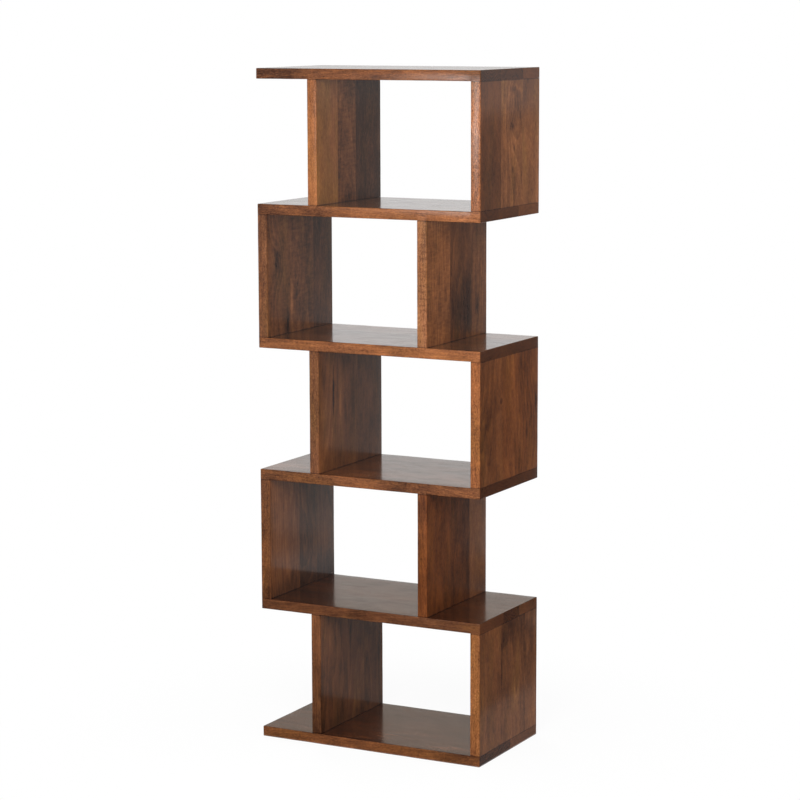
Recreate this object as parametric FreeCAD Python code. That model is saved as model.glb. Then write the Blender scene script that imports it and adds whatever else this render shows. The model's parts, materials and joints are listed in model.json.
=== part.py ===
"""Zigzag etagere of edge-glued solid wood: six shelves, ten uprights and the loose tenons that join them.

Sizes are in millimetres. The origin lies on the floor under the middle of the etagere.
+X is to the right seen from the front, +Y is to the back and +Z is up.
"""
import FreeCAD
import Part
import os
from FreeCAD import Vector

# Overall shape
shelf_length = 650.0
depth = 350.0
shelf_thickness = 28.0
upright_thickness = 28.0
bay_height = 324.4  # clear height between one shelf and the next
tier_count = 5
inner_setback = 152.0  # from a shelf's end to the near face of the inner upright

# Sanded edges: every outward corner of the glued-up frame is eased by hand
arris_radius = 2.0

# Hidden joints: loose tenons, glued into mortises in the shelves and in the uprights' end grain
tenons_per_joint = 3
tenon_thickness = 9.0
tenon_width = 54.0
tenon_in_shelf = 17.0
tenon_in_upright = 24.0
tenon_edge_distance = 33.0  # from the front or back edge of the boards to the nearest tenon
glue_film = 0.1  # room for glue on each side of a tenon
glue_well = 0.8  # room for glue past each end of a tenon

# Shelves from the floor up
shelf_names = ["base_shelf", "shelf_2", "shelf_3", "shelf_4", "shelf_5", "top_shelf"]

# Each board is glued up from three staves. The shares are of the depth, from front to back.
stave_names = ["front_stave", "middle_stave", "back_stave"]
shelf_stave_shares = {
    "base_shelf": (0.26, 0.27, 0.47),
    "shelf_2": (0.40, 0.28, 0.32),
    "shelf_3": (0.31, 0.38, 0.31),
    "shelf_4": (0.34, 0.35, 0.31),
    "shelf_5": (0.30, 0.34, 0.36),
    "top_shelf": (0.33, 0.38, 0.29),
}
upright_stave_shares = {
    (1, "outer"): (0.36, 0.32, 0.32),
    (1, "inner"): (0.43, 0.26, 0.31),
    (2, "outer"): (0.45, 0.27, 0.28),
    (2, "inner"): (0.40, 0.31, 0.29),
    (3, "outer"): (0.38, 0.27, 0.35),
    (3, "inner"): (0.28, 0.33, 0.39),
    (4, "outer"): (0.34, 0.36, 0.30),
    (4, "inner"): (0.38, 0.37, 0.25),
    (5, "outer"): (0.34, 0.36, 0.30),
    (5, "inner"): (0.32, 0.28, 0.40),
}

tier_pitch = shelf_thickness + bay_height
front_face = -depth / 2


def shelf_bottom(level):
    """Height of a shelf's underside. Level 0 is the base shelf."""
    return level * tier_pitch


def shelf_top(level):
    """Height of a shelf's upper face."""
    return shelf_bottom(level) + shelf_thickness


def upright_left_face(tier, role):
    """X of an upright's left face. The outer upright changes sides from tier to tier."""
    outer_side = 1 if tier % 2 else -1
    half_board = upright_thickness / 2
    if role == "outer":
        middle = outer_side * (shelf_length / 2 - half_board)
    else:
        middle = -outer_side * (shelf_length / 2 - inner_setback - half_board)
    return middle - half_board


def shelf_board(level, stave_front=front_face, stave_width=depth):
    """A whole shelf with sharp edges, or one stave of it."""
    corner = Vector(-shelf_length / 2, stave_front, shelf_bottom(level))
    return Part.makeBox(shelf_length, stave_width, shelf_thickness, corner)


def upright_board(tier, role, stave_front=front_face, stave_width=depth):
    """A whole upright with sharp edges, or one stave of it. It stands on the shelf below its tier."""
    corner = Vector(upright_left_face(tier, role), stave_front, shelf_top(tier - 1))
    return Part.makeBox(upright_thickness, stave_width, bay_height, corner)


def is_arris(edge, wood):
    """True for an outward corner, where wood fills just one of the four quadrants around the edge."""
    middle = edge.valueAt((edge.FirstParameter + edge.LastParameter) / 2)
    along = edge.tangentAt(edge.FirstParameter)
    across = Vector(along.y, along.z, along.x)
    square = along.cross(across)
    quadrants = [(1, 1), (1, -1), (-1, 1), (-1, -1)]
    probes = [middle + (across * a + square * b) * arris_radius for a, b in quadrants]
    return sum(wood.isInside(probe, 0.0, False) for probe in probes) == 1


def eased_frame():
    """All the boards as one outline, with its outward corners rounded as they are after glue-up."""
    boards = [shelf_board(level) for level in range(tier_count + 1)]
    boards += [upright_board(tier, role) for tier, role in upright_stave_shares]
    frame = boards[0].fuse(boards[1:]).removeSplitter()
    arrises = [edge for edge in frame.Edges if is_arris(edge, frame)]
    return frame.makeFillet(arris_radius, arrises)


def stave_fronts_and_widths(shares):
    """Y of each stave's front and its width, from the front of the board to the back."""
    spans = []
    front = front_face
    for share in shares:
        width = share * depth
        spans.append((front, width))
        front += width
    return spans


def tenon_rows():
    """Y of each tenon's middle in a joint."""
    first = front_face + tenon_edge_distance + tenon_width / 2
    spacing = 2 * -first / (tenons_per_joint - 1)
    return [first + spacing * number for number in range(tenons_per_joint)]


def joints_at(level):
    """The joints of one shelf, as the x of the upright's middle and +1 where it stands on top or -1 below."""
    found = []
    for tier, role in upright_stave_shares:
        middle = upright_left_face(tier, role) + upright_thickness / 2
        if tier - 1 == level:
            found.append((middle, 1))
        if tier == level:
            found.append((middle, -1))
    return found


def joint_plane(level, side):
    """Height of the shelf face that an upright meets, on top for side +1 and below for -1."""
    return shelf_top(level) if side > 0 else shelf_bottom(level)


def block_across_joint(x, y, level, side, film, well):
    """A square-edged block across a joint: a tenon with film more on each side and well past each end."""
    thickness = tenon_thickness + 2 * film
    width = tenon_width + 2 * film
    in_shelf = tenon_in_shelf + well
    in_upright = tenon_in_upright + well
    below = in_shelf if side > 0 else in_upright
    corner = Vector(x - thickness / 2, y - width / 2, joint_plane(level, side) - below)
    return Part.makeBox(thickness, width, in_shelf + in_upright, corner)


def tenon(x, y, level, side):
    """One loose tenon, partly in the shelf and partly in the upright."""
    return block_across_joint(x, y, level, side, 0, 0)


def mortise(x, y, level, side):
    """The room for one tenon and its glue, cut through the joint into both boards."""
    return block_across_joint(x, y, level, side, glue_film, glue_well)


def joint_pieces(make, level):
    """What make builds at each place for a tenon in one shelf's joints: the tenons or their mortises."""
    return [make(x, y, level, side) for x, side in joints_at(level) for y in tenon_rows()]


def mortised(stave, mortises):
    """A stave with the mortises that reach into it."""
    near = [room for room in mortises if room.BoundBox.intersect(stave.BoundBox)]
    return stave.cut(near) if near else stave


def save(name, shape):
    """Writes one node as a STEP file."""
    shape.exportStep(os.path.join("parts", name + ".step"))


def build_shelves(frame, mortises):
    """Saves the staves of all the shelves."""
    for level, shelf_name in enumerate(shelf_names):
        spans = stave_fronts_and_widths(shelf_stave_shares[shelf_name])
        for stave_name, (front, width) in zip(stave_names, spans):
            stave = shelf_board(level, front, width).common(frame)
            save(f"{shelf_name}_{stave_name}", mortised(stave, mortises))


def build_uprights(frame, mortises):
    """Saves the staves of all the uprights."""
    for (tier, role), shares in upright_stave_shares.items():
        for stave_name, (front, width) in zip(stave_names, stave_fronts_and_widths(shares)):
            stave = upright_board(tier, role, front, width).common(frame)
            save(f"tier_{tier}_{role}_upright_{stave_name}", mortised(stave, mortises))


def build_tenons():
    """Saves the loose tenons, one group for each shelf."""
    for level, shelf_name in enumerate(shelf_names):
        save(f"{shelf_name}_loose_tenons", Part.makeCompound(joint_pieces(tenon, level)))


def main():
    """Builds every node of the etagere."""
    os.makedirs("parts", exist_ok=True)
    frame = eased_frame()
    mortises = [room for level in range(tier_count + 1) for room in joint_pieces(mortise, level)]
    build_shelves(frame, mortises)
    build_uprights(frame, mortises)
    build_tenons()


main()
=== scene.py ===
"""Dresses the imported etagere: hand-eased staves of stained and lacquered wood, in a white studio.

Lengths are in metres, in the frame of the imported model: +X to the right, +Y to the back, +Z up.
"""
import json
import logging
import math
import random
from dataclasses import dataclass, field
from enum import Enum
from typing import Any, Callable, Iterator, Union

import bmesh
import bpy
from mathutils import Matrix, Vector


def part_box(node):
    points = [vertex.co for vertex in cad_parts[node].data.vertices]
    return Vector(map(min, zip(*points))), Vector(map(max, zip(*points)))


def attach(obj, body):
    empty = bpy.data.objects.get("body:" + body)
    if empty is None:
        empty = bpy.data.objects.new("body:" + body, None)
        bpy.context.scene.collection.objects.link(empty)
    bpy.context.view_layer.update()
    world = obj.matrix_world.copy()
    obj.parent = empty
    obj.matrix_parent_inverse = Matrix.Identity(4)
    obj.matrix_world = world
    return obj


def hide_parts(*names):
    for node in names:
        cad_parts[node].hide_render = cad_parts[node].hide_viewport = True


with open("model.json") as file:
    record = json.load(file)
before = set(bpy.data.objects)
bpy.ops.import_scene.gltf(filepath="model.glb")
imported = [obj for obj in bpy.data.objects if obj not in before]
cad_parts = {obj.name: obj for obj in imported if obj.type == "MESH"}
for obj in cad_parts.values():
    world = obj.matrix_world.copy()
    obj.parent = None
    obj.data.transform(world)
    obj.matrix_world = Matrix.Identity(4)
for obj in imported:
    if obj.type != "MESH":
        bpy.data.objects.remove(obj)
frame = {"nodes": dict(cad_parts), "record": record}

log = logging.getLogger("etagere")

MM = 0.001
BODY = "root"
STAVE_NAMES = ("front_stave", "middle_stave", "back_stave")
NOISE_MEAN = 0.5


class Grain(Enum):
    """Which way the fibres of a board run, as the index of that axis."""

    ALONG_X = 0
    ALONG_Z = 2


class Tone(Enum):
    """How dark a stave took the stain. The values are the record's material slots."""

    DARK = "dark_wood"
    MID = "mid_wood"
    LIGHT = "light_wood"


def operator(operation: str, turned: bool = False) -> Callable[["Signal", "Value"], "Signal"]:
    """Makes a Python operator out of a Math node.

    Args:
        operation: what the node works out, such as ADD.
        turned: whether the signal comes second, as in 1 - mask.

    Returns:
        The method for the class of signals.
    """

    def method(signal: "Signal", other: "Value") -> "Signal":
        """Adds the node."""
        return signal.wiring.math(operation, *((other, signal) if turned else (signal, other)))

    return method


class Signal:
    """What one output of a shader tree gives, so that sums of signals are written as Python sums."""

    __add__, __radd__ = operator("ADD"), operator("ADD", turned=True)
    __sub__, __rsub__ = operator("SUBTRACT"), operator("SUBTRACT", turned=True)
    __mul__, __rmul__ = operator("MULTIPLY"), operator("MULTIPLY", turned=True)
    __truediv__, __pow__ = operator("DIVIDE"), operator("POWER")

    def __init__(self, wiring: "Wiring", socket: bpy.types.NodeSocket) -> None:
        """Wraps an output socket of a tree."""
        self.wiring, self.socket = wiring, socket

    def __neg__(self) -> "Signal":
        """Turns the sign."""
        return self * -1.0


Value = Union[float, Signal]
Pair = tuple[float, float]
Triple = tuple[float, float, float]
Colour = Triple
WHITE: Colour = (1.0, 1.0, 1.0)


@dataclass(frozen=True)
class Layer:
    """A layer of noise: how many blotches a metre holds along each axis, and how finely it is broken up."""

    grid: Triple
    detail: float = 1.0
    roughness: float = 0.55


class Wiring:
    """The node tree of one material or of the world, filled by Python expressions."""

    def __init__(self, tree: bpy.types.NodeTree) -> None:
        """Empties a tree and takes it over."""
        self.tree = tree
        tree.nodes.clear()

    def node(
        self,
        kind: str,
        settings: dict[str, Any] | None = None,
        sockets: dict[Any, Any] | None = None,
        output: Any = 0,
    ) -> Signal:
        """Adds one node.

        Args:
            kind: the node's type, such as ShaderNodeMath.
            settings: its settings, set first. stops holds a ramp's places and colours.
            sockets: the values or signals of its inputs, by name or number.
            output: the name or number of the output to give back.

        Returns:
            The signal of that output.
        """
        made = self.tree.nodes.new(kind)
        for name, value in (settings or {}).items():
            if name == "stops":
                self._set_stops(made.color_ramp, value)
            else:
                setattr(made, name, value)
        for name, value in (sockets or {}).items():
            if isinstance(value, Signal):
                self.tree.links.new(value.socket, made.inputs[name])
            else:
                made.inputs[name].default_value = value
        return Signal(self, made.outputs[output]) if made.outputs else Signal(self, None)

    @staticmethod
    def _set_stops(ramp: bpy.types.ColorRamp, stops: tuple[tuple[float, Colour], ...]) -> None:
        """Fills a ramp.

        Args:
            ramp: the ramp, with the two stops that it starts with.
            stops: the place and the colour of each stop, from left to right.
        """
        while len(ramp.elements) < len(stops):
            ramp.elements.new(1.0)
        for element, (place, colour) in zip(ramp.elements, stops):
            element.position = place
            element.color = (*colour, 1.0)

    def math(self, operation: str, *values: Value, clamp: bool = False) -> Signal:
        """Adds a Math node, whose result is kept between 0 and 1 where clamp says so."""
        settings = {"operation": operation, "use_clamp": clamp}
        return self.node("ShaderNodeMath", settings, dict(enumerate(values)))

    def clamped(self, value: Signal) -> Signal:
        """Keeps a value between 0 and 1."""
        return self.math("ADD", value, 0.0, clamp=True)

    def step(self, value: Signal, rise: Pair) -> Signal:
        """Goes smoothly from 0 where the rise starts to 1 where it ends, which may be lower."""
        sockets = {"Value": value, "From Min": rise[0], "From Max": rise[1]}
        return self.node("ShaderNodeMapRange", {"interpolation_type": "SMOOTHSTEP"}, sockets)

    def parts(self, vector: Signal) -> tuple[Signal, Signal, Signal]:
        """Takes a vector apart into its three numbers."""
        whole = self.node("ShaderNodeSeparateXYZ", {}, {0: vector})
        first, second, third = (Signal(self, output) for output in whole.socket.node.outputs)
        return first, second, third

    def mix(self, factor: Value, first: Any, second: Any, blend: str = "MIX") -> Signal:
        """Mixes two colours.

        Args:
            factor: how much of the second one shows.
            first: the colour or signal at factor 0.
            second: the colour or signal at factor 1.
            blend: how they mix.

        Returns:
            The mixed colour.
        """
        settings = {"data_type": "RGBA", "blend_type": blend}
        colours = [c if isinstance(c, Signal) else (*c, 1.0) for c in (first, second)]
        sockets = {0: factor, 6: colours[0], 7: colours[1]}
        return self.node("ShaderNodeMix", settings, sockets, output=2)

    def stretched(self, place: Signal, grid: Triple) -> Signal:
        """Scales a place along each axis, which draws out the pattern that is read there."""
        return self.node("ShaderNodeVectorMath", {"operation": "MULTIPLY"}, {0: place, 1: grid})

    def noise(self, place: Signal, layer: Layer, output: Any = 0) -> Signal:
        """Cloudy noise, drawn out along the axes.

        Args:
            place: where it is read.
            layer: how fine it is.
            output: 0 for one value or Color for three that differ.

        Returns:
            The noise, from 0 to 1 and about NOISE_MEAN on average.
        """
        spread = self.stretched(place, layer.grid)
        sockets = {"Vector": spread, "Scale": 1.0, "Detail": layer.detail, "Roughness": layer.roughness}
        return self.node("ShaderNodeTexNoise", {}, sockets, output)

    def swing(self, place: Signal, layer: Layer) -> Signal:
        """The same noise about 0, so that it adds nothing on average."""
        return self.noise(place, layer) - NOISE_MEAN


class Finish(Wiring):
    """A new material with its node tree."""

    def __init__(self, name: str) -> None:
        """Adds the material, with nothing in its tree."""
        self.material = bpy.data.materials.new(name)
        self.material.use_nodes = True
        super().__init__(self.material.node_tree)

    def surface(self, kind: str, sockets: dict[Any, Any]) -> bpy.types.Material:
        """Ends the tree with a shader of some kind, and gives the material back."""
        self.node("ShaderNodeOutputMaterial", {}, {"Surface": self.node(kind, {}, sockets)})
        return self.material


@dataclass(frozen=True)
class Mark:
    """A knot, a streak or a cloud in the wood of one stave, or a band of painted shade at an upright's foot, in
    millimetres.

    along is its height over the board's foot, or its distance from a shelf's left end, and back its
    distance from the front edge. A negative darkness makes it paler than the wood around it. ragged is
    how torn it looks, and rings how many growth rings bend round it. A mark at an upright's foot that
    spans the whole stave is painted shade where the shelf below meets it.
    """

    along: float
    back: float
    length: float
    width: float
    darkness: float
    ragged: float = 1.0
    rings: float = 0.0


@dataclass(frozen=True)
class Look:
    """What sets one stave apart from others of its tone.

    shade makes it paler all over, and the lifts only on its front and back edges, at the fibres' ends and
    on top. The lift on top is painted shade that darkens the tops of the lower shelves, and the lift at the
    fibres' ends of the shelves' back staves is partly a painted reflection. coolness, warmth and olive turn
    its colour, with a coolness of their own on the edges and a warmth of their own on top. coolness is partly
    the stave's own greyish tone and partly a painted greyish reflection, and so is the edges' own coolness.
    stipple is how pitted its edges look, figure how strong its rings and streaks are, flecks how speckled it
    is, and ripple how strong the bars across its fibres are.
    """

    shade: float = 0.0
    edge_lift: float = 0.0
    end_lift: float = 0.0
    top_painted_shade: float = 0.0
    coolness: float = 0.10
    warmth: float = 0.0
    olive: float = 0.0
    top_warmth: float = 0.0
    edge_coolness_and_reflection: float = 0.0
    stipple: float = 0.48
    figure: float = 1.0
    flecks: float = 0.34
    ripple: float = 0.15
    marks: tuple[Mark, ...] = ()


@dataclass(frozen=True)
class Cut:
    """How one stave was sawn from its log, which with its look decides the figure on its faces."""

    grain: Grain
    look: Look
    corner: Vector
    board_length: float
    log_start: float
    pith_across: float
    pith_through: float
    tilt: float
    ring_spacing: float


class StainedWood(Finish):
    """Walnut-brown stain and satin lacquer on open-pored hardwood, for one stave.

    A point's paleness is its place among the colours of the stain, from the deepest at 0. Painted shade on
    the tops of the lower shelves and at the uprights' feet and seams is added to it too. The tables say how
    much each pattern in the wood adds to that or to another property. A pattern shows only on the front and
    back edges where its name starts with edge, and only on top where it starts with top. A rise says where a
    pattern starts and where it is full.
    """

    stain: tuple[tuple[float, Colour], ...] = (
        (0.0, (0.018, 0.0048, 0.0018)),
        (0.22, (0.055, 0.019, 0.008)),
        (0.48, (0.150, 0.052, 0.018)),
        (0.74, (0.290, 0.104, 0.034)),
        (1.0, (0.480, 0.205, 0.085)),
    )
    levels: dict[Tone, float] = {Tone.DARK: 0.31, Tone.MID: 0.40, Tone.LIGHT: 0.49}
    cool_tint: Colour = (0.82, 0.90, 1.12)
    olive_tint: Colour = (0.94, 1.07, 0.80)
    end_tint: Colour = (0.62, 0.58, 0.62)
    warm_tint: Colour = (1.0, 0.74, 0.40)
    tint_clouds: Layer = Layer((4.0, 16.0, 16.0), 2.0)
    cool_swing: float = 1.4
    olive_swing: float = 3.0
    layers: dict[str, Layer] = {
        "clouds": Layer((6.0, 13.0, 13.0), 3.0),
        "mottle": Layer((16.0, 42.0, 42.0), 3.0),
        "streaks": Layer((16.0, 130.0, 130.0), 3.0),
        "lines": Layer((9.0, 300.0, 300.0), 2.0),
        "dashes": Layer((85.0, 360.0, 360.0), 2.0),
        "pits": Layer((210.0, 400.0, 400.0)),
        "fibres": Layer((60.0, 1100.0, 1100.0)),
        "bars": Layer((150.0, 38.0, 38.0)),
    }
    end_calm: float = 0.45
    roughness: dict[str, float] = {"streaks": 0.22, "pores": 0.12, "end": 0.16, "arris": 0.45}
    plain_roughness: float = 0.42
    lacquer: dict[str, float] = {"pores": -0.25, "edge_hollows": -0.45, "arris": -0.55, "top_mottle": 0.4}
    plain_lacquer: float = 0.97
    lacquer_roughness: float = 0.14
    relief: dict[str, float] = {"fibres": 0.25, "pores": -0.75, "mottle": 0.6, "edge_pits": 6.0}
    relief_depth: float = 0.07 * MM
    second_tilt: float = 0.6
    wander: Layer = Layer((2.6, 11.0, 11.0), 3.0)
    wander_width: float = 55.0 * MM
    ring_mean: float = 0.35
    ring_power: float = 1.6
    ring_end: Pair = (0.82, 1.0)
    knot_reach: float = 2.2
    tears: Layer = Layer((45.0, 190.0, 190.0), 3.0)
    tear_depth: float = 2.4
    pore_grid: Triple = (95.0, 950.0, 950.0)
    pore_rise: Pair = (0.34, 0.12)
    hollow_rise: Pair = (0.0, -0.14)
    seam_rise: Pair = (3.0 * MM, 0.6 * MM)
    face_rise: Pair = (0.55, 0.9)
    edge_rise: Pair = (0.45, 0.9)
    arris_power: float = 8.0

    def __init__(self, name: str, tone: Tone, cut: Cut) -> None:
        """Finds the patterns in one stave.

        Args:
            name: the material's name.
            tone: how dark the stave took the stain.
            cut: how it was sawn and looks.
        """
        super().__init__(name)
        self.tone, self.cut, self.look = tone, cut, cut.look
        self.board = self._place_on_board()
        self.along, self.back, _ = self.parts(self.board)
        self.place = self._place_in_log()
        self.patterns = self._patterns()

    def made(self) -> bpy.types.Material:
        """The material that the patterns add up to."""
        bump = {"Strength": 1.0, "Distance": self.relief_depth, "Height": self._sum(self.relief)}
        sockets = {
            "Base Color": self._colour(),
            "Roughness": self._sum(self.roughness, self.plain_roughness),
            "Normal": self.node("ShaderNodeBump", {}, bump),
            "IOR": 1.45,
            "Specular IOR Level": 0.06,
            "Coat Weight": self.clamped(self._sum(self.lacquer, self.plain_lacquer)),
            "Coat Roughness": self.lacquer_roughness,
            "Coat IOR": 1.5,
        }
        return self.surface("ShaderNodeBsdfPrincipled", sockets)

    def _sum(self, amounts: dict[str, float], plain: float = 0.0) -> Value:
        """Adds to a plain value each pattern times its amount."""
        total: Value = plain
        for name, amount in amounts.items():
            total = self.patterns[name] * amount + total
        return total

    def _figure(self) -> dict[str, float]:
        """How much each pattern adds to the paleness, which depends on the look."""
        look = self.look
        return {
            "clouds": 0.44, "mottle": 0.30, "fibres": 0.13, "pores": -0.12, "bars": 0.40 * look.ripple,
            "rings": 0.15 * look.figure, "edge_rings": -0.12 * look.figure,
            "streaks": 0.10 + 0.14 * look.figure, "edge_streaks": -0.06,
            "dashes": look.flecks, "edge_dashes": 0.30 - look.flecks,
            "edge_pits": look.stipple, "edge_lines": 0.40,
        }

    def _lifts(self) -> dict[str, float]:
        """How much paler or darker the stave is in places, whatever its figure. This includes painted shade on
        the tops of the lower shelves, and a dark line at the uprights' seams that is glue and painted contact
        shadow.
        """
        lifts = {"edge": self.look.edge_lift, "end": self.look.end_lift, "top": self.look.top_painted_shade}
        return {**lifts, "marks": -1.0, "arris": -0.02, "seams": -0.26}

    def _patterns(self) -> dict[str, Value]:
        """All that the finish is made from, by name.

        Returns:
            Noise about 0, and what is 1 in its place and 0 elsewhere.
        """
        found: dict[str, Value] = {name: self.swing(self.place, layer) for name, layer in self.layers.items()}
        found |= self._facing()
        found["rings"] = self._rings() - self.ring_mean
        found["pores"] = self._pores()
        found["marks"] = self._marks()
        found["seams"] = self._seams() if self.cut.grain is Grain.ALONG_Z else 0.0
        for name in ("rings", "streaks", "dashes", "pits", "lines"):
            found[f"edge_{name}"] = found[name] * found["edge"]
        found["edge_hollows"] = self.step(found["pits"], self.hollow_rise) * found["edge"]
        found["top_mottle"] = found["mottle"] * found["top"]
        cool, olive, _ = self.parts(self.noise(self.place, self.tint_clouds, "Color"))
        found["cool"], found["olive"] = cool - NOISE_MEAN, olive - NOISE_MEAN
        return found

    def _colour(self) -> Signal:
        """The colour of the stain, with the painted shade and the painted greyish reflection that the looks
        add.

        Returns:
            The colour, cooler, greener or warmer in places and duller where the fibres end.
        """
        look, edge, end, top = self.look, *(self.patterns[name] for name in ("edge", "end", "top"))
        paleness = self._sum(self._figure()) * (1.0 - end * self.end_calm)
        paleness = paleness + self._sum(self._lifts(), self.levels[self.tone] + look.shade)
        colour = self.node("ShaderNodeValToRGB", {"stops": self.stain}, {"Fac": paleness})
        # The edges' own coolness is partly a painted greyish reflection on the front and back edges, and the
        # stave's coolness is partly one all over.
        cool = self.patterns["cool"] * self.cool_swing + edge * (look.edge_coolness_and_reflection - look.coolness)
        olive = self.patterns["olive"] * self.olive_swing + (1.0 - edge) * look.olive
        warm = top * (look.top_warmth - look.warmth) + look.warmth
        tints = (self.cool_tint, self.olive_tint, self.end_tint, self.warm_tint)
        for factor, tint in zip((cool + look.coolness, olive, end, warm), tints):
            colour = self.mix(self.clamped(factor), colour, tint, "MULTIPLY")
        return colour

    def _place_on_board(self) -> Signal:
        """Where a point lies on its board.

        Returns:
            A vector along the board from its foot or left end, back from its front edge, and through it.
        """
        place = self.node("ShaderNodeTexCoord", output="Object")
        sockets = {0: place, 1: self.cut.corner}
        x, y, z = self.parts(self.node("ShaderNodeVectorMath", {"operation": "SUBTRACT"}, sockets))
        order = (x, y, z) if self.cut.grain is Grain.ALONG_X else (z, y, x)
        return self.node("ShaderNodeCombineXYZ", {}, dict(enumerate(order)))

    def _place_in_log(self) -> Signal:
        """Where a point of the board lay in its log: along it, and across and through from the pith."""
        cut = self.cut
        sockets = {
            "Vector": self.board,
            "Location": (cut.log_start, cut.pith_across, cut.pith_through),
            "Rotation": (0.0, cut.tilt, cut.tilt * self.second_tilt),
        }
        return self.node("ShaderNodeMapping", {"vector_type": "POINT"}, sockets)

    def _closeness(self, mark: Mark, reach: float = 1.0) -> Signal:
        """How near a mark a point is.

        Args:
            mark: the mark.
            reach: how far it reaches, 1 for its own size.

        Returns:
            1 in its middle, falling to 0 around it.
        """
        ahead = (self.along - mark.along * MM) / (mark.length * reach * MM)
        beside = (self.back - mark.back * MM) / (mark.width * reach * MM)
        return self.math("EXPONENT", -(ahead * ahead + beside * beside))

    def _rings(self) -> Signal:
        """The growth rings, which close round the knots among the marks.

        Returns:
            A value that rises through each ring and drops at its end, from 0 to 1.
        """
        _, across, through = self.parts(self.place)
        radius = self.math("SQRT", across * across + through * through)
        phase = (radius + self.swing(self.place, self.wander) * self.wander_width) / self.cut.ring_spacing
        for mark in self.look.marks:
            if mark.rings:
                phase = phase + self._closeness(mark, self.knot_reach) * mark.rings
        ring = self.math("FRACT", phase)
        return ring ** self.ring_power * (1.0 - self.step(ring, self.ring_end))

    def _marks(self) -> Value:
        """How much the marks darken a point. Among them is painted shade at the feet of some uprights."""
        dark: Value = 0.0
        if self.look.marks:
            torn = self.swing(self.board, self.tears) * self.tear_depth
            for mark in self.look.marks:
                dark = self._closeness(mark) * (torn * mark.ragged + 1.0) * mark.darkness + dark
        return dark

    def _seams(self) -> Signal:
        """1 along the glued seams at an upright's foot and head, and 0 a little way from them. There the stave
        darkens as a glue line and a painted contact shadow.
        """
        foot, head = self.along, self.cut.board_length - self.along
        return self.step(foot, self.seam_rise) + self.step(head, self.seam_rise)

    def _pores(self) -> Signal:
        """Short open pores along the fibres, 1 in a pore and 0 beside it."""
        sockets = {"Vector": self.stretched(self.place, self.pore_grid), "Scale": 1.0}
        return self.step(self.node("ShaderNodeTexVoronoi", {"feature": "F1"}, sockets), self.pore_rise)

    def _facing(self) -> dict[str, Signal]:
        """Which kind of face a point is on.

        Returns:
            What is 1 where the fibres end in the surface, on front and back edges, on top and on arrises.
        """
        parts = self.parts(self.node("ShaderNodeTexCoord", output="Normal"))
        sizes = [self.math("ABSOLUTE", part) for part in parts]
        first, second, third = (size ** self.arris_power for size in sizes)
        return {
            "end": self.step(sizes[self.cut.grain.value], self.face_rise),
            "edge": self.step(sizes[1], self.edge_rise),
            "top": self.step(parts[2], self.face_rise),
            "arris": 1.0 - (first + second + third),
        }


class PlanedHardwood(Finish):
    """Bare pale hardwood, as loose tenons are planed from."""

    pale: Colour = (0.56, 0.36, 0.18)
    dark: Colour = (0.38, 0.21, 0.09)
    fibres: Layer = Layer((700.0, 700.0, 30.0), 3.0)
    flecks: Layer = Layer((900.0, 260.0, 120.0))
    contrast: float = 1.2
    roughness: float = 0.65
    fleck_roughness: float = 0.2
    relief_strength: float = 0.4
    relief_depth: float = 0.1 * MM

    def made(self) -> bpy.types.Material:
        """The material, with its fibres and flecks."""
        place = self.node("ShaderNodeTexCoord", output="Object")
        paleness = self.clamped(self.swing(place, self.fibres) * self.contrast + NOISE_MEAN)
        flecks = self.swing(place, self.flecks)
        bump = {"Strength": self.relief_strength, "Distance": self.relief_depth, "Height": flecks}
        sockets = {
            "Base Color": self.mix(paleness, self.dark, self.pale),
            "Roughness": flecks * self.fleck_roughness + self.roughness,
            "Normal": self.node("ShaderNodeBump", {}, bump),
        }
        return self.surface("ShaderNodeBsdfPrincipled", sockets)


@dataclass
class Block:
    """A box of wood from its lowest to its highest corner."""

    low: Vector
    high: Vector

    def holds(self, point: Vector) -> bool:
        """Whether a point is inside."""
        return all(a <= p <= b for a, p, b in zip(self.low, point, self.high))


@dataclass
class Carcass:
    """All the wood of the etagere, which tells an outward corner from a flush joint."""

    blocks: list[Block]
    arris_radius: float = 2.0 * MM

    def is_outward_corner(self, start: Vector, end: Vector) -> bool:
        """Whether wood fills just one of the four quadrants round an edge.

        Args:
            start: one end of the edge, which runs along an axis.
            end: its other end.

        Returns:
            True for an outward corner of the whole carcass.
        """
        middle = (start + end) / 2
        along = max(range(3), key=lambda axis: abs(end[axis] - start[axis]))
        first, second = (axis for axis in range(3) if axis != along)
        filled = 0
        for a in (-1, 1):
            for b in (-1, 1):
                probe = middle.copy()
                probe[first] += a * self.arris_radius
                probe[second] += b * self.arris_radius
                filled += any(block.holds(probe) for block in self.blocks)
        return filled == 1


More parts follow.
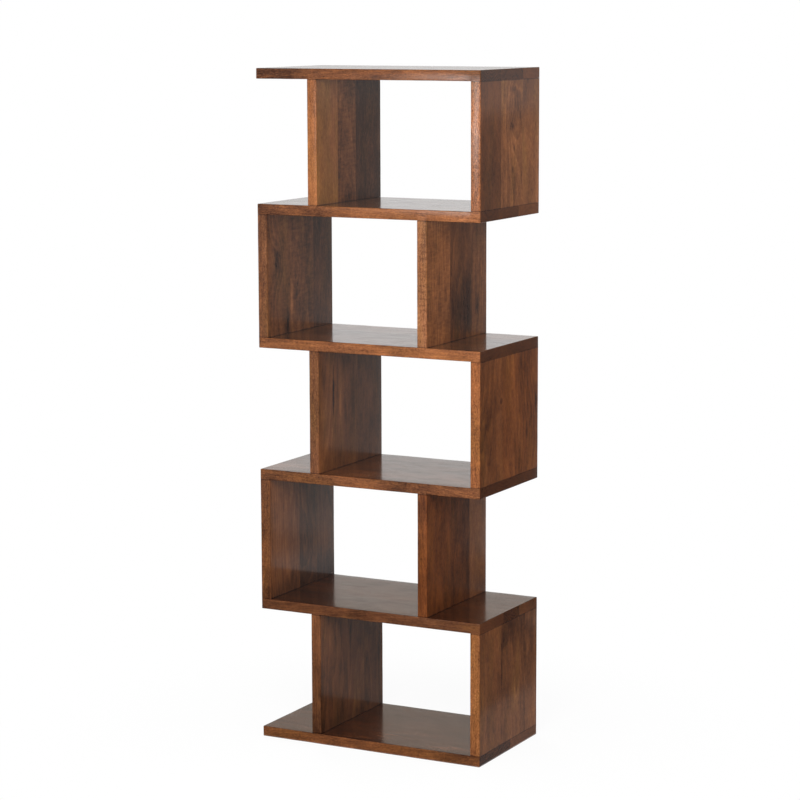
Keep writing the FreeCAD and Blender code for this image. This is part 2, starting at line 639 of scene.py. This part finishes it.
@dataclass
class Stave:
    """One stave of a board, shaped from a block with its outward corners eased by hand."""

    node: str
    block: Block
    joint_places: list[float]
    cut: Cut
    mesh_step: float = 18.0 * MM
    arris_segments: int = 4
    sanding_depth: float = 0.5 * MM
    sanding_length: float = 45.0 * MM
    wave_depth: float = 0.16 * MM
    wave_length: float = 130.0 * MM
    close: float = 0.01 * MM
    smooth_angle: float = math.radians(35.0)

    def build(self, carcass: Carcass, tone: Tone) -> bpy.types.Object:
        """Makes the stave's mesh and dresses it.

        Args:
            carcass: all the wood, for the outward corners.
            tone: how dark it took the stain.

        Returns:
            The finished piece, riding on the body in its node's place.
        """
        piece = self._blank()
        self._divide()
        self._ease_corners(piece, carcass)
        self._wave(piece)
        self._keep_inside(piece)
        bpy.ops.object.shade_smooth_by_angle(angle=self.smooth_angle)
        self._flatten_shading(piece)
        piece.data.materials.append(StainedWood(self.node, tone, self.cut).made())
        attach(piece, BODY)
        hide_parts(self.node)
        return piece

    def _blank(self) -> bpy.types.Object:
        """Adds the sharp-edged block, with its place in its mesh."""
        bpy.ops.object.select_all(action="DESELECT")
        size = self.block.high - self.block.low
        middle = (self.block.high + self.block.low) / 2
        bpy.ops.mesh.primitive_cube_add(size=1.0, location=middle, scale=size)
        piece = bpy.context.active_object
        piece.name = f"{self.node}_eased"
        bpy.ops.object.transform_apply(location=True, rotation=True, scale=True)
        return piece

    def _divide(self) -> None:
        """Divides the block along its three axes, and at the joints where its corners change."""
        bpy.ops.object.mode_set(mode="EDIT")
        bpy.ops.mesh.select_mode(type="EDGE")
        size = self.block.high - self.block.low
        for axis in range(3):
            cuts = max(1, round(size[axis] / self.mesh_step)) - 1
            if cuts:
                self._select_edges_along(axis)
                bpy.ops.mesh.subdivide(number_cuts=cuts)
        for place in self.joint_places:
            bpy.ops.mesh.select_all(action="SELECT")
            spot, facing = Vector(), Vector()
            spot[self.cut.grain.value] = place
            facing[self.cut.grain.value] = 1.0
            bpy.ops.mesh.bisect(plane_co=spot, plane_no=facing)
        bpy.ops.object.mode_set(mode="OBJECT")

    def _select_edges_along(self, axis: int) -> None:
        """Selects the edges that run along an axis, in edit mode."""
        mesh = bmesh.from_edit_mesh(bpy.context.active_object.data)
        bpy.ops.mesh.select_all(action="DESELECT")
        for edge in mesh.edges:
            span = edge.verts[1].co - edge.verts[0].co
            edge.select = abs(span[axis]) > 0.5 * span.length
        mesh.select_flush_mode()
        bmesh.update_edit_mesh(bpy.context.active_object.data)

    def _on_rim(self, point: Vector) -> int:
        """How many of the block's faces a point lies on."""
        ends = zip(point, self.block.low, self.block.high)
        return sum(min(abs(p - a), abs(p - b)) < self.close for p, a, b in ends)

    def _ease_corners(self, piece: bpy.types.Object, carcass: Carcass) -> None:
        """Rounds the outward corners and sands them a little unevenly.

        Args:
            piece: the divided block.
            carcass: all the wood, for the outward corners.
        """
        bpy.ops.object.mode_set(mode="EDIT")
        bpy.ops.mesh.select_mode(type="EDGE")
        bpy.ops.mesh.select_all(action="DESELECT")
        mesh = bmesh.from_edit_mesh(piece.data)
        found = False
        for edge in mesh.edges:
            start, end = (corner.co for corner in edge.verts)
            on_rim = min(self._on_rim(point) for point in (start, end, (start + end) / 2)) > 1
            edge.select = on_rim and carcass.is_outward_corner(start, end)
            found = found or edge.select
        bmesh.update_edit_mesh(piece.data)
        if found:
            bpy.ops.mesh.bevel(
                offset=carcass.arris_radius, segments=self.arris_segments, profile=0.5, clamp_overlap=False
            )
            piece.vertex_groups.new(name="arris")
            bpy.ops.object.vertex_group_assign()
        bpy.ops.object.mode_set(mode="OBJECT")
        if found:
            self._displace(piece, "arris", "NORMAL", self.sanding_depth, self.sanding_length)

    def _wave(self, piece: bpy.types.Object) -> None:
        """Gives the two broad faces the faint waves that sanding leaves, into the wood."""
        through = 2 if self.cut.grain is Grain.ALONG_X else 0
        for name, face, sign in (("low_face", self.block.low, 1), ("high_face", self.block.high, -1)):
            group = piece.vertex_groups.new(name=name)
            reach = 10.0 * self.close
            near = [v.index for v in piece.data.vertices if abs(v.co[through] - face[through]) < reach]
            group.add(near, 1.0, "REPLACE")
            self._displace(piece, name, "XYZ"[through], -sign * self.wave_depth, self.wave_length)

    def _keep_inside(self, piece: bpy.types.Object) -> None:
        """Moves any point that has left the sharp-edged block back to its surface."""
        for vertex in piece.data.vertices:
            for axis in range(3):
                vertex.co[axis] = min(max(vertex.co[axis], self.block.low[axis]), self.block.high[axis])

    @staticmethod
    def _flatten_shading(piece: bpy.types.Object) -> None:
        """Lets the broad faces be shaded flat right up to their rounded corners."""
        modifier = piece.modifiers.new("flat_shading", "WEIGHTED_NORMAL")
        modifier.keep_sharp = True
        bpy.ops.object.modifier_apply(modifier=modifier.name)

    @staticmethod
    def _displace(piece: bpy.types.Object, group: str, axis: str, depth: float, length: float) -> None:
        """Moves a group of vertices by clouds, always the same way.

        Args:
            piece: the mesh.
            group: the vertex group that moves.
            axis: X, Y, Z or NORMAL.
            depth: how far at most, against the axis.
            length: the size of a cloud.
        """
        clouds = bpy.data.textures.new(f"{piece.name}_{group}", "CLOUDS")
        clouds.noise_scale = length
        clouds.noise_depth = 1
        modifier = piece.modifiers.new(group, "DISPLACE")
        modifier.texture = clouds
        modifier.texture_coords = "LOCAL"
        modifier.vertex_group = group
        modifier.direction = axis
        modifier.mid_level = 1.0
        modifier.strength = depth
        bpy.ops.object.modifier_apply(modifier=modifier.name)
        bpy.data.textures.remove(clouds)


@dataclass
class Board:
    """A shelf or an upright, glued up edge to edge from three staves, each sawn from a log of its own.

    The fields after looks say how far along its log a stave may start, where the log's pith may lie, how
    far it may lean, and how close its rings may be.
    """

    name: str
    grain: Grain
    seed: int
    looks: tuple[Look, Look, Look]
    log_length: float = 30.0
    pith_shift: float = 50.0 * MM
    pith_depth: Pair = (30.0 * MM, 160.0 * MM)
    tilt: float = 0.08
    ring_spacing: Pair = (8.0 * MM, 18.0 * MM)

    def nodes(self) -> list[str]:
        """The nodes of its staves, from front to back."""
        return [f"{self.name}_{stave}" for stave in STAVE_NAMES]

    def cuts(self) -> Iterator[tuple[str, Cut]]:
        """How each stave was sawn and looks, drawn with the board's own seed."""
        draw = random.Random(self.seed)
        foot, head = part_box(self.nodes()[0])
        length = head[self.grain.value] - foot[self.grain.value]
        for node, look in zip(self.nodes(), self.looks):
            low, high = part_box(node)
            middle = (low.y + high.y) / 2 - foot.y
            yield node, Cut(
                grain=self.grain,
                look=look,
                corner=foot,
                board_length=length,
                log_start=draw.uniform(0.0, self.log_length),
                pith_across=-middle + draw.uniform(-self.pith_shift, self.pith_shift),
                pith_through=draw.choice((-1, 1)) * draw.uniform(*self.pith_depth),
                tilt=draw.uniform(-self.tilt, self.tilt),
                ring_spacing=draw.uniform(*self.ring_spacing),
            )

    def build(self, etagere: "Etagere") -> None:
        """Builds the board's staves.

        Args:
            etagere: the whole, for its carcass, tones and joints.
        """
        places = etagere.joint_places(self) if self.grain is Grain.ALONG_X else []
        for node, cut in self.cuts():
            block = Block(*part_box(node))
            inside = [place for place in places if block.low.x < place < block.high.x]
            piece = Stave(node, block, inside, cut).build(etagere.carcass, etagere.tones[node])
            log.info("%s: %d faces", piece.name, len(piece.data.polygons))


# The looks of every stave. The lift on top of the lower shelves is painted shade. The end lift of the shelves'
# back staves and the coolness of some staves and edges are partly painted reflection. The marks at the feet of
# two uprights that span a whole stave are painted shade.
LOOKS: dict[str, tuple[Look, Look, Look]] = {
    "base_shelf": (
        Look(edge_lift=0.03, end_lift=-0.08, top_painted_shade=-0.23, top_warmth=1.0, marks=(
            Mark(620, 0, 50, 50, 0.08),
        )),
        Look(end_lift=-0.03, top_painted_shade=-0.23, top_warmth=1.0),
        Look(shade=0.04, end_lift=0.25, top_painted_shade=-0.25, top_warmth=1.0),
    ),
    "shelf_2": (
        Look(
            edge_lift=-0.05, end_lift=0.07, top_painted_shade=-0.27, top_warmth=1.0, coolness=0.2, edge_coolness_and_reflection=0.7,
            stipple=0.2, marks=(
                Mark(620, 0, 60, 40, -0.06), Mark(240, 0, 50, 40, -0.06),
            ),
        ),
        Look(end_lift=-0.15, top_painted_shade=-0.28, top_warmth=1.0),
        Look(end_lift=0.15, top_painted_shade=-0.27, top_warmth=1.0),
    ),
    "shelf_3": (
        Look(edge_lift=-0.03, end_lift=-0.11, top_painted_shade=-0.1, top_warmth=0.5, marks=(
            Mark(430, 0, 90, 50, 0.12), Mark(60, 0, 80, 50, 0.1), Mark(600, 0, 50, 50, 0.08),
        )),
        Look(end_lift=-0.02, top_painted_shade=-0.1, top_warmth=0.5),
        Look(end_lift=0.09, top_painted_shade=-0.06, top_warmth=0.5),
    ),
    "shelf_4": (
        Look(edge_lift=0.13, end_lift=-0.01, edge_coolness_and_reflection=0.1, marks=(
            Mark(60, 0, 80, 50, 0.08), Mark(600, 0, 50, 50, 0.06),
        )),
        Look(end_lift=0.12),
        Look(end_lift=-0.04),
    ),
    "shelf_5": (
        Look(edge_lift=0.02, end_lift=-0.1, edge_coolness_and_reflection=0.2, marks=(Mark(100, 0, 140, 50, 0.2),)),
        Look(end_lift=0.03),
        Look(end_lift=0.23),
    ),
    "top_shelf": (
        Look(edge_lift=0.02, end_lift=-0.08, edge_coolness_and_reflection=0.1, stipple=0.35, marks=(
            Mark(70, 0, 100, 50, 0.16), Mark(220, 0, 60, 50, 0.06),
        )),
        Look(end_lift=-0.15),
        Look(end_lift=0.28),
    ),
    "tier_1_outer_upright": (
        Look(flecks=0.46, shade=-0.02, edge_lift=0.11, stipple=0.66, figure=0.5, marks=(
            Mark(0, 0, 100, 20, 0.1), Mark(50, 30, 60, 10, -0.08, 0.6),
        )),
        Look(flecks=0.46, shade=0.19, marks=(
            Mark(310, 185, 100, 70, 0.24, 0.15), Mark(190, 130, 60, 5, 0.18, 0.8),
            Mark(110, 205, 50, 18, -0.08, 0.6),
        )),
        Look(flecks=0.46, shade=0.12, coolness=0.45, marks=(
            Mark(310, 270, 110, 80, 0.17, 0.15), Mark(80, 300, 50, 10, -0.08, 0.6),
        )),
    ),
    # The last mark of each stave here, at the foot and as wide as the stave, is painted shade where the shelf
    # below meets this upright.
    "tier_1_inner_upright": (
        Look(flecks=0.22, shade=-0.01, edge_lift=0.03, coolness=0.2, edge_coolness_and_reflection=0.5, stipple=0.2, marks=(
            Mark(20, 0, 100, 20, 0.18), Mark(300, 0, 60, 20, -0.08), Mark(0, 80, 50, 200, 0.1, 0.2),
        )),
        Look(flecks=0.22, shade=0.15, coolness=0.3, marks=(
            Mark(220, 165, 60, 14, 0.16), Mark(0, 180, 50, 200, 0.1, 0.2),
        )),
        Look(flecks=0.22, shade=0.09, coolness=0.3, marks=(
            Mark(110, 180, 60, 9, -0.06), Mark(100, 255, 60, 12, 0.02, rings=1.5),
            Mark(0, 280, 50, 200, 0.1, 0.2),
        )),
    ),
    # The mark of each stave here at the foot and as wide as the stave is painted shade where the shelf below
    # meets this upright.
    "tier_2_outer_upright": (
        Look(flecks=0.2, shade=0.05, edge_lift=-0.07, edge_coolness_and_reflection=0.2, marks=(
            Mark(240, 150, 140, 30, 0.14), Mark(0, 80, 40, 200, 0.12, 0.2),
        )),
        Look(flecks=0.2, shade=-0.1, coolness=0.3, marks=(
            Mark(120, 185, 35, 14, -0.05, rings=1.6), Mark(0, 200, 50, 200, 0.12, 0.2),
        )),
        Look(flecks=0.2, shade=0.01, coolness=0.3, marks=(Mark(0, 300, 50, 200, 0.14, 0.2),)),
    ),
    "tier_2_inner_upright": (
        Look(
            flecks=0.4, shade=-0.13, edge_lift=0.02, coolness=0.0, warmth=0.65, edge_coolness_and_reflection=0.3, stipple=0.2,
            figure=0.6, marks=(
                Mark(40, 80, 90, 50, -0.07, 0.3), Mark(60, 0, 120, 20, 0.06),
            ),
        ),
        Look(flecks=0.4, shade=-0.09, coolness=0.0, warmth=0.6, figure=0.6),
        Look(flecks=0.4, shade=0.13, figure=0.6, marks=(
            Mark(30, 300, 50, 60, 0.06), Mark(300, 304, 6, 6, 0.35),
        )),
    ),
    "tier_3_outer_upright": (
        Look(flecks=0.46, shade=0.04, edge_lift=0.16, coolness=0.0, warmth=0.25, stipple=0.6, marks=(
            Mark(0, 0, 80, 20, 0.08), Mark(160, 35, 220, 35, 0.06, 0.3), Mark(160, 108, 220, 18, -0.05, 0.5),
            Mark(209, 124, 7, 6, 0.28, 2.2, rings=1.4), Mark(150, 140, 35, 14, 0.16, 1.4),
        )),
        Look(flecks=0.46, shade=-0.01, coolness=0.0, warmth=0.5, marks=(
            Mark(270, 190, 90, 12, -0.12, 0.6), Mark(100, 200, 100, 10, -0.05, 0.6),
        )),
        Look(flecks=0.46, shade=0.06, coolness=0.0, warmth=0.5, marks=(
            Mark(140, 275, 60, 22, 0.04, rings=2.6), Mark(300, 260, 90, 40, 0.1, 0.4),
            Mark(115, 280, 22, 4, 0.22, 0.8), Mark(150, 305, 22, 4, 0.24, 0.8), Mark(185, 335, 26, 7, 0.3),
            Mark(205, 272, 40, 6, -0.1, 0.6), Mark(245, 296, 35, 6, -0.1, 0.6),
        )),
    ),
    "tier_3_inner_upright": (
        Look(flecks=0.24, shade=0.05, edge_lift=-0.02, coolness=0.2, edge_coolness_and_reflection=0.5, marks=(
            Mark(200, 80, 55, 4, 0.5, 1.4), Mark(100, 90, 100, 10, 0.06),
        )),
        Look(flecks=0.24, shade=-0.05, coolness=0.3, figure=0.6, marks=(Mark(200, 115, 160, 12, -0.1),)),
        Look(flecks=0.24, shade=0.02, coolness=0.4, figure=0.4),
    ),
    "tier_4_outer_upright": (
        Look(flecks=0.4, edge_lift=0.01, coolness=0.3, edge_coolness_and_reflection=0.8, stipple=0.5, ripple=0.5, marks=(
            Mark(195, 52, 26, 16, 0.3, 1.8, rings=2.4), Mark(22, 106, 26, 10, 0.4, 1.4),
            Mark(280, 30, 40, 40, 0.06),
        )),
        Look(flecks=0.4, shade=-0.09, coolness=0.45, ripple=0.7, marks=(
            Mark(85, 127, 60, 7.5, -0.36, 0.2), Mark(110, 152, 30, 14, 0.16, 1.4),
            Mark(165, 150, 28, 12, -0.06, 1.5, rings=2.6),
        )),
        Look(flecks=0.4, shade=-0.13, coolness=0.7, figure=0.5),
    ),
    "tier_4_inner_upright": (
        Look(
            flecks=0.4, shade=0.05, edge_lift=0.05, coolness=0.0, edge_coolness_and_reflection=1.0, stipple=0.6, ripple=0.8,
            marks=(
                Mark(100, 75, 100, 3, 0.14),
            ),
        ),
        Look(flecks=0.4, shade=0.13, coolness=0.25, marks=(Mark(80, 200, 85, 70, 0.32, 0.4),)),
        Look(flecks=0.4, shade=0.07, coolness=0.25, ripple=0.5, marks=(
            Mark(75, 292, 35, 10, 0.3, 1.4), Mark(20, 310, 30, 30, -0.08),
        )),
    ),
    "tier_5_outer_upright": (
        Look(
            flecks=0.4, shade=0.08, edge_lift=0.15, coolness=0.3, edge_coolness_and_reflection=0.35, warmth=0.25, stipple=0.9,
            figure=0.25, ripple=0.0, marks=(
                Mark(80, 50, 120, 50, 0.06, 0.2), Mark(280, 50, 100, 50, -0.05, 0.2),
            ),
        ),
        Look(flecks=0.56, shade=0.1, coolness=0.2, figure=1.4, ripple=0.3, marks=(
            Mark(245, 203, 55, 20, 0.04, 1.5, rings=3.0), Mark(300, 188, 8, 12, 0.16, 1.6, rings=0.6),
            Mark(207, 182, 12, 12, 0.3, 1.6, rings=0.8), Mark(238, 190, 30, 28, 0.1),
            Mark(268, 203, 12, 4, 0.2, 0.8), Mark(252, 219, 12, 4, 0.24, 0.8), Mark(233, 233, 14, 4, 0.24, 0.8),
            Mark(94, 190, 8, 5, 0.4, 1.6, rings=0.6), Mark(150, 196, 5, 5, 0.2),
        )),
        Look(flecks=0.56, shade=0.2, coolness=0.2, figure=0.5, marks=(
            Mark(120, 338, 120, 13, -0.2, 0.5), Mark(290, 280, 90, 50, 0.14, 0.3),
        )),
    ),
    "tier_5_inner_upright": (
        Look(flecks=0.44, shade=0.13, edge_lift=-0.01, coolness=0.4, olive=0.7, figure=0.4, marks=(
            Mark(20, 100, 30, 20, -0.08), Mark(300, 0, 80, 20, 0.08),
        )),
        Look(flecks=0.44, shade=0.12, coolness=0.35, ripple=0.9, marks=(Mark(20, 175, 35, 26, 0.2),)),
        Look(flecks=0.44, shade=-0.17, coolness=0.6, figure=0.4),
    ),
}


@dataclass
class Etagere:
    """The whole etagere: boards, and the loose tenons inside their joints."""

    shelves: tuple[str, ...] = ("base_shelf", "shelf_2", "shelf_3", "shelf_4", "shelf_5", "top_shelf")
    tiers: int = 5
    shelf_seed: int = 10
    upright_seed: int = 100
    tier_seeds: int = 10
    carcass: Carcass = field(init=False)
    tones: dict[str, Tone] = field(init=False)

    def __post_init__(self) -> None:
        """Reads the tones and the blocks of wood from the frame."""
        slots = {row["node"]: row["material_slot"] for row in frame["record"]["subparts"]}
        self.tones = {node: Tone(slot) for node, slot in slots.items() if node.endswith("stave")}
        self.carcass = Carcass([Block(*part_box(node)) for node in self.tones])

    def boards(self) -> list[Board]:
        """Every board, the shelves first."""
        found = []
        for number, name in enumerate(self.shelves):
            found.append(Board(name, Grain.ALONG_X, self.shelf_seed + number, LOOKS[name]))
        for tier in range(1, self.tiers + 1):
            for number, role in enumerate(("outer", "inner")):
                name = f"tier_{tier}_{role}_upright"
                seed = self.upright_seed + self.tier_seeds * tier + number
                found.append(Board(name, Grain.ALONG_Z, seed, LOOKS[name]))
        return found

    def joint_places(self, shelf: Board) -> list[float]:
        """Where the corners of a shelf stop at the uprights that meet it.

        Args:
            shelf: the shelf.

        Returns:
            X of both sides of each upright that stands on it or under it, and of the mitre inside each.
        """
        low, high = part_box(shelf.nodes()[0])
        places = set()
        for board in self.boards():
            if board.grain is Grain.ALONG_X:
                continue
            start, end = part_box(board.nodes()[0])
            if min(abs(start.z - high.z), abs(end.z - low.z)) < MM:
                radius = self.carcass.arris_radius
                places |= {start.x, start.x + radius, end.x - radius, end.x}
        return sorted(places)

    def build(self) -> None:
        """Builds every board and dresses the tenons."""
        for board in self.boards():
            board.build(self)
        bare = PlanedHardwood("loose_tenons").made()
        for shelf in self.shelves:
            node = frame["nodes"][f"{shelf}_loose_tenons"]
            node.data.materials.clear()
            node.data.materials.append(bare)
            log.info("%s dressed", node.name)


@dataclass(frozen=True)
class Softbox:
    """One soft lamp of the studio, which no reflection shows."""

    name: str
    place: Triple
    target: Triple
    width: float
    height: float
    power: float

    def build(self) -> None:
        """Adds the lamp, turned to its target."""
        data = bpy.data.lights.new(self.name, "AREA")
        data.shape = "RECTANGLE"
        data.size = self.width
        data.size_y = self.height
        data.energy = self.power
        lamp = bpy.data.objects.new(self.name, data)
        lamp.location = self.place
        lamp.rotation_euler = (Vector(self.target) - Vector(self.place)).to_track_quat("-Z", "Y").to_euler()
        lamp.visible_glossy = False
        bpy.context.scene.collection.objects.link(lamp)


@dataclass(frozen=True)
class Card:
    """A card of the studio that only reflections meet: black, grey, or a bright window.

    It lies flat where its two opposite corners are level, and otherwise stands upright.
    """

    name: str
    low: Triple
    high: Triple
    shade: float

    def corners(self) -> list[Triple]:
        """Its four corners, in order round it."""
        (left, front, foot), (right, back, head) = self.low, self.high
        if foot == head:
            return [(left, front, foot), (right, front, foot), (right, back, foot), (left, back, foot)]
        return [self.low, (right, back, foot), self.high, (left, front, head)]

    def build(self) -> None:
        """Adds the card."""
        mesh = bpy.data.meshes.new(self.name)
        corners = self.corners()
        mesh.from_pydata(corners, [], [tuple(range(len(corners)))])
        card = bpy.data.objects.new(self.name, mesh)
        bpy.context.scene.collection.objects.link(card)
        sockets = {"Color": (*WHITE, 1.0), "Strength": self.shade}
        mesh.materials.append(Finish(self.name).surface("ShaderNodeEmission", sockets))
        card.visible_camera = False
        card.visible_diffuse = False
        card.visible_shadow = False


@dataclass
class Camera:
    """The photograph's camera, fitted to the corners of the etagere."""

    place: Vector = Vector((3.1548, -5.9741, 1.9500))
    yaw: float = math.radians(27.812)
    pitch: float = math.radians(8.703)
    roll: float = math.radians(-0.177)
    focal_pixels: float = 2579.9
    image_pixels: float = 800.0
    sensor_width: float = 36.0

    def build(self) -> None:
        """Adds the camera and makes it the scene's."""
        level = Vector((math.cos(self.yaw), math.sin(self.yaw), 0.0))
        onward = Vector((-math.sin(self.yaw), math.cos(self.yaw), 0.0))
        ahead = onward * math.cos(self.pitch) - Vector((0.0, 0.0, math.sin(self.pitch)))
        upright = level.cross(ahead)
        right = level * math.cos(self.roll) + upright * math.sin(self.roll)
        up = upright * math.cos(self.roll) - level * math.sin(self.roll)
        turned = Matrix((right, up, -ahead)).transposed().to_4x4()
        data = bpy.data.cameras.new("camera")
        data.sensor_width = self.sensor_width
        data.lens = self.focal_pixels / self.image_pixels * self.sensor_width
        camera = bpy.data.objects.new("camera", data)
        camera.matrix_world = Matrix.Translation(self.place) @ turned
        bpy.context.scene.collection.objects.link(camera)
        bpy.context.scene.camera = camera


@dataclass
class Studio:
    """White floor, white surroundings, soft lamps, cards for the reflections, and the camera."""

    floor_radius: float = 14.0
    floor_corners: int = 96
    floor_colour: Colour = (0.9, 0.9, 0.9)
    shadow_fade: Pair = (0.3, 1.1)
    floor_glow: float = 0.92
    ambient_front: float = 0.38
    ambient_back: float = 0.20
    ambient_turn: Pair = (-0.8, 0.8)
    mirrored_low: Colour = (0.90, 0.90, 0.90)
    mirrored_high: Colour = (0.50, 0.42, 0.35)
    room_rise: Pair = (0.17, 0.235)
    room_shade: float = 0.52
    near_shade: float = 0.21
    front_shade: float = 0.30
    camera_wall: float = -7.6
    window_wall: float = -7.5
    back_wall: float = 9.0
    side_wall: float = 1.2
    side_front: float = -0.5
    side_back: float = 2.2
    floor_front: float = -0.16
    floor_left: float = -0.14
    floor_middle: float = 0.55
    floor_right: float = 0.85
    floor_height: float = 4.0 * MM

    def build(self) -> None:
        """Builds the studio round the etagere."""
        self._world()
        self._floor()
        for piece in (*self._lamps(), *self._standing_cards(), *self._floor_cards(), Camera()):
            piece.build()
        bpy.context.scene.view_settings.view_transform = "Standard"

    @staticmethod
    def _lamps() -> tuple[Softbox, ...]:
        """The large soft key at the front right, and weaker lamps at the left, the right and the back."""
        return (
            Softbox("key_softbox", (0.95, -2.3, 1.85), (0.1, 0.0, 1.1), width=1.6, height=1.6, power=100.0),
            Softbox("left_softbox", (-0.83, -3.1, 1.82), (0.3, 0.0, 1.7), width=0.85, height=0.85, power=13.0),
            Softbox("right_softbox", (2.7, 0.3, 1.3), (0.3, 0.0, 0.9), width=1.0, height=1.6, power=8.0),
            Softbox("back_softbox", (-2.2, 2.6, 2.0), (0.0, 0.0, 0.9), width=1.6, height=1.6, power=55.0),
        )

    def _standing_cards(self) -> list[Card]:
        """The cards behind the camera with the two bright windows, at the right, and at the back."""
        wall, window = self.camera_wall, self.window_wall
        side, front, back = self.side_wall, self.side_front, self.side_back
        rows = (
            ("front_card", (-12.0, wall, 0.0), (side, wall, 6.0), self.front_shade),
            ("low_window_card", (-3.56, window, 1.0), (-2.9, window, 1.2), 8.0),
            ("high_window_card", (-3.56, window, 1.2), (-2.9, window, 1.58), 10.0),
            ("corner_card", (side, wall, 0.0), (side, front, 2.0), 0.3),
            ("low_side_card", (side, front, 0.0), (side, back, 0.78), 0.0),
            ("middle_side_card", (side, front, 0.78), (side, back, 1.2), 0.05),
            ("high_side_card", (side, front, 1.2), (side, back, 1.6), 0.13),
            ("far_side_card", (side, back, 0.0), (side, 2.75, 1.6), 0.26),
            ("back_card", (0.0, self.back_wall, 0.0), (14.0, self.back_wall, 3.2), 0.38),
        )
        return [Card(*row) for row in rows]

    def _floor_cards(self) -> list[Card]:
        """The cards on the floor: in front, under what each upright mirrors, and the paler room behind."""
        front, side, back, room = self.floor_front, self.side_wall, self.back_wall, self.room_shade
        left, middle, right = self.floor_left, self.floor_middle, self.floor_right
        rows = (
            ("front_floor_card", (-9.0, -2.6), (side, front), 0.0),
            ("far_front_floor_card", (-9.0, self.camera_wall), (side, -2.6), self.front_shade),
            ("near_floor_card", (left, front), (middle, 1.8), self.near_shade),
            ("middle_floor_card", (middle, front), (right, 1.3), 0.05),
            ("side_floor_card", (right, front), (side, self.side_back), 0.02),
            ("back_left_floor_card", (-6.0, front), (left, back), room),
            ("back_floor_card", (left, 1.8), (middle, back), room),
            ("back_middle_floor_card", (middle, 1.3), (right, back), room),
            ("back_right_floor_card", (right, self.side_back), (9.0, back), room),
        )
        height = self.floor_height
        return [Card(name, (*low, height), (*high, height), shade) for name, low, high, shade in rows]

    @staticmethod
    def _white_to_the_eye(wiring: Wiring) -> Signal:
        """1 for camera, glossy and transmission rays."""
        rays = wiring.node("ShaderNodeLightPath", output="Is Camera Ray")
        outputs = rays.socket.node.outputs
        seen = rays + Signal(wiring, outputs["Is Glossy Ray"]) + Signal(wiring, outputs["Is Transmission Ray"])
        return wiring.clamped(seen)

    def _world(self) -> None:
        """White to the eye, softer as light, and in reflections a room that is dimmer and warmer higher up."""
        world = bpy.data.worlds.new("studio")
        bpy.context.scene.world = world
        world.use_nodes = True
        wiring = Wiring(world.node_tree)
        _, ahead, up = wiring.parts(wiring.node("ShaderNodeTexCoord", output="Generated"))
        behind = wiring.step(ahead, self.ambient_turn)
        light = behind * (self.ambient_back - self.ambient_front) + self.ambient_front
        eye = self._white_to_the_eye(wiring)
        room = wiring.mix(wiring.step(up, self.room_rise), self.mirrored_low, self.mirrored_high)
        glossy = wiring.node("ShaderNodeLightPath", output="Is Glossy Ray")
        colour = wiring.mix(glossy, WHITE, room)
        sockets = {"Color": colour, "Strength": light + eye * (1.0 - light)}
        surface = wiring.node("ShaderNodeBackground", {}, sockets)
        wiring.node("ShaderNodeOutputWorld", {}, {"Surface": surface})

    def _floor(self) -> None:
        """A white floor, which keeps the object's shadow and turns into plain white further off."""
        bpy.ops.object.select_all(action="DESELECT")
        bpy.ops.mesh.primitive_circle_add(
            vertices=self.floor_corners, radius=self.floor_radius, fill_type="NGON"
        )
        floor = bpy.context.active_object
        floor.name = "floor"
        finish = Finish("floor")
        place = finish.node("ShaderNodeTexCoord", output="Object")
        away = finish.node("ShaderNodeVectorMath", {"operation": "LENGTH"}, {0: place}, output="Value")
        far = finish.step(away, self.shadow_fade)
        factor = self._white_to_the_eye(finish) * (far * (1.0 - self.floor_glow) + self.floor_glow)
        glow = finish.node("ShaderNodeEmission", {}, {"Color": (*WHITE, 1.0), "Strength": 1.0})
        matt = finish.node("ShaderNodeBsdfDiffuse", {}, {"Color": (*self.floor_colour, 1.0)})
        floor.data.materials.append(finish.surface("ShaderNodeMixShader", {0: factor, 1: matt, 2: glow}))


def main() -> None:
    """Builds the etagere and the studio."""
    logging.basicConfig(level=logging.INFO, format="%(name)s: %(message)s")
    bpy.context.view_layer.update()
    Etagere().build()
    Studio().build()


if __name__ == "__main__":
    main()
